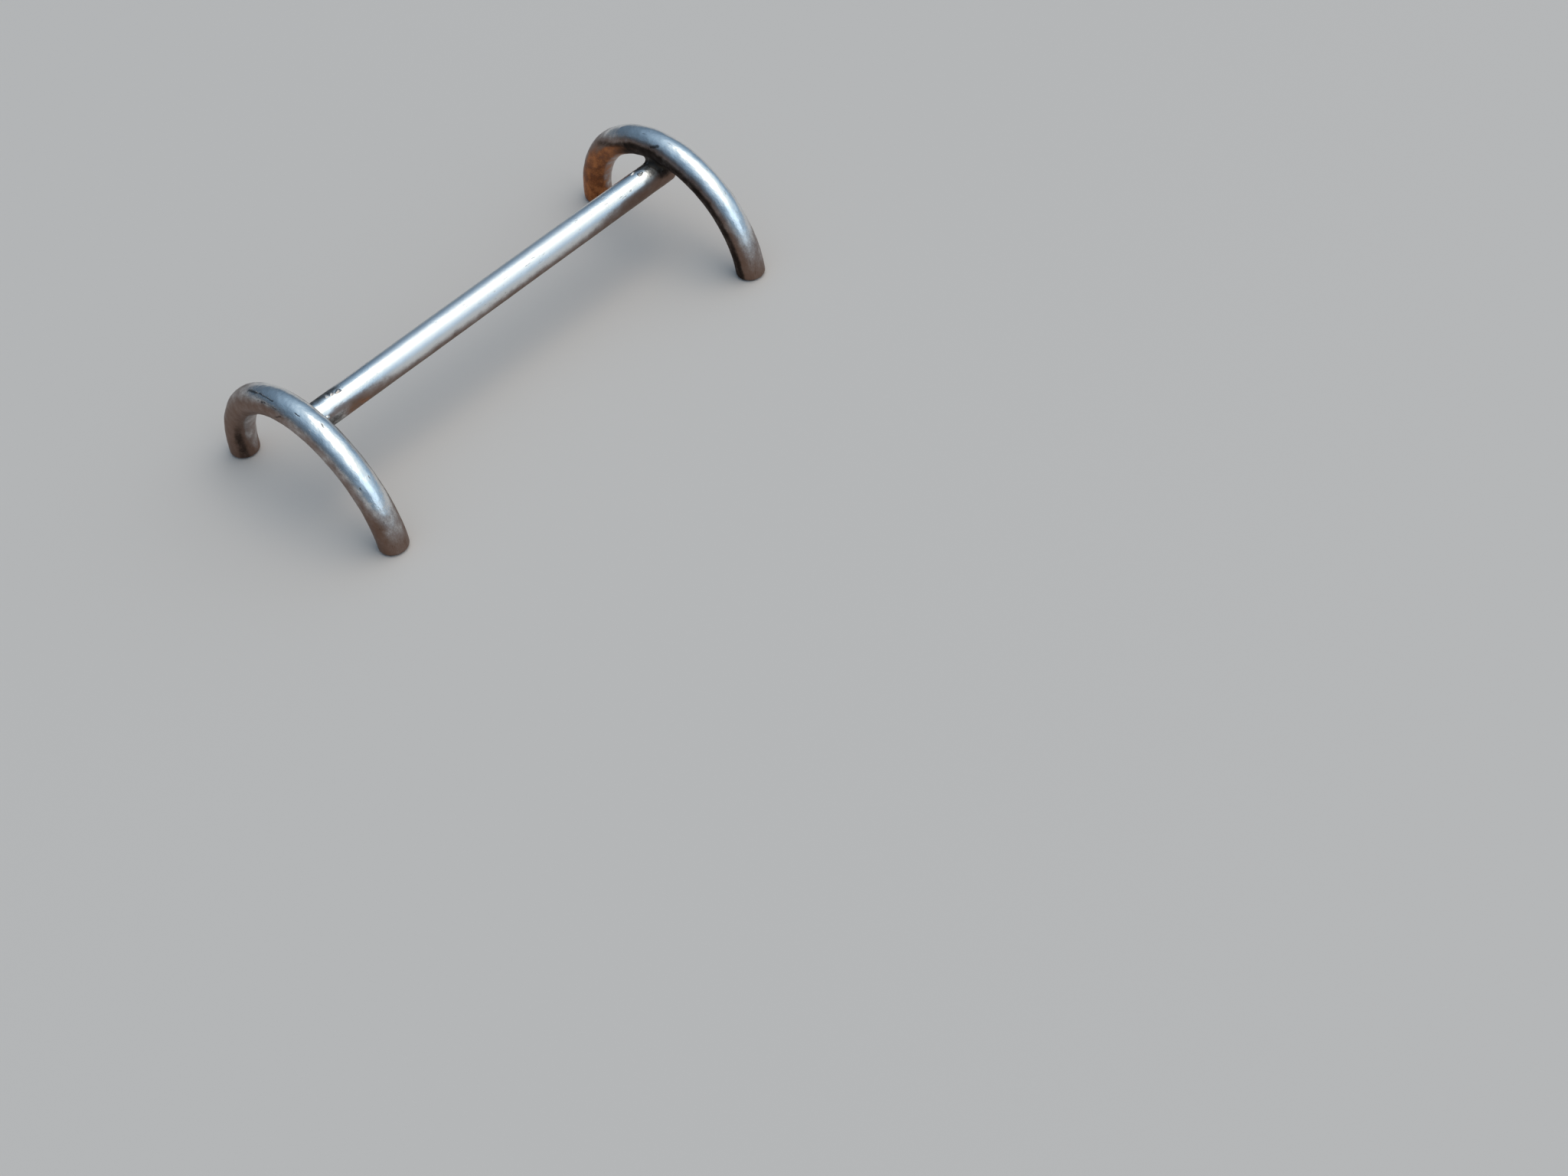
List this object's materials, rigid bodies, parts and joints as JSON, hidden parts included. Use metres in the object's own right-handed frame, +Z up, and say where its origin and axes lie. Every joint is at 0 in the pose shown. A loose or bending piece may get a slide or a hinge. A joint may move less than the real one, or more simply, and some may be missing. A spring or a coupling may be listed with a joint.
{
  "type": "knife rest",
  "caption": "Plated wire knife rest: a straight round bar soldered beneath the crowns of arched wire feet, which hold used blades clear of the tablecloth.",
  "frame": {"origin": "on the table, under the middle of the bar", "axes": "+X along the bar, +Y across the feet, +Z up"},
  "size_m": [0.1002, 0.049, 0.0245],
  "materials": {
    "silver_plate": "silver plate on a copper alloy wire, polished, scratched and lightly tarnished",
    "solder": "silver solder, plated over, uneven"
  },
  "bodies": {
    "root": {"rest_bar": "silver_plate", "left_arch": "silver_plate", "right_arch": "silver_plate", "left_solder_joint": "solder", "right_solder_joint": "solder"}
  },
  "joints": []
}
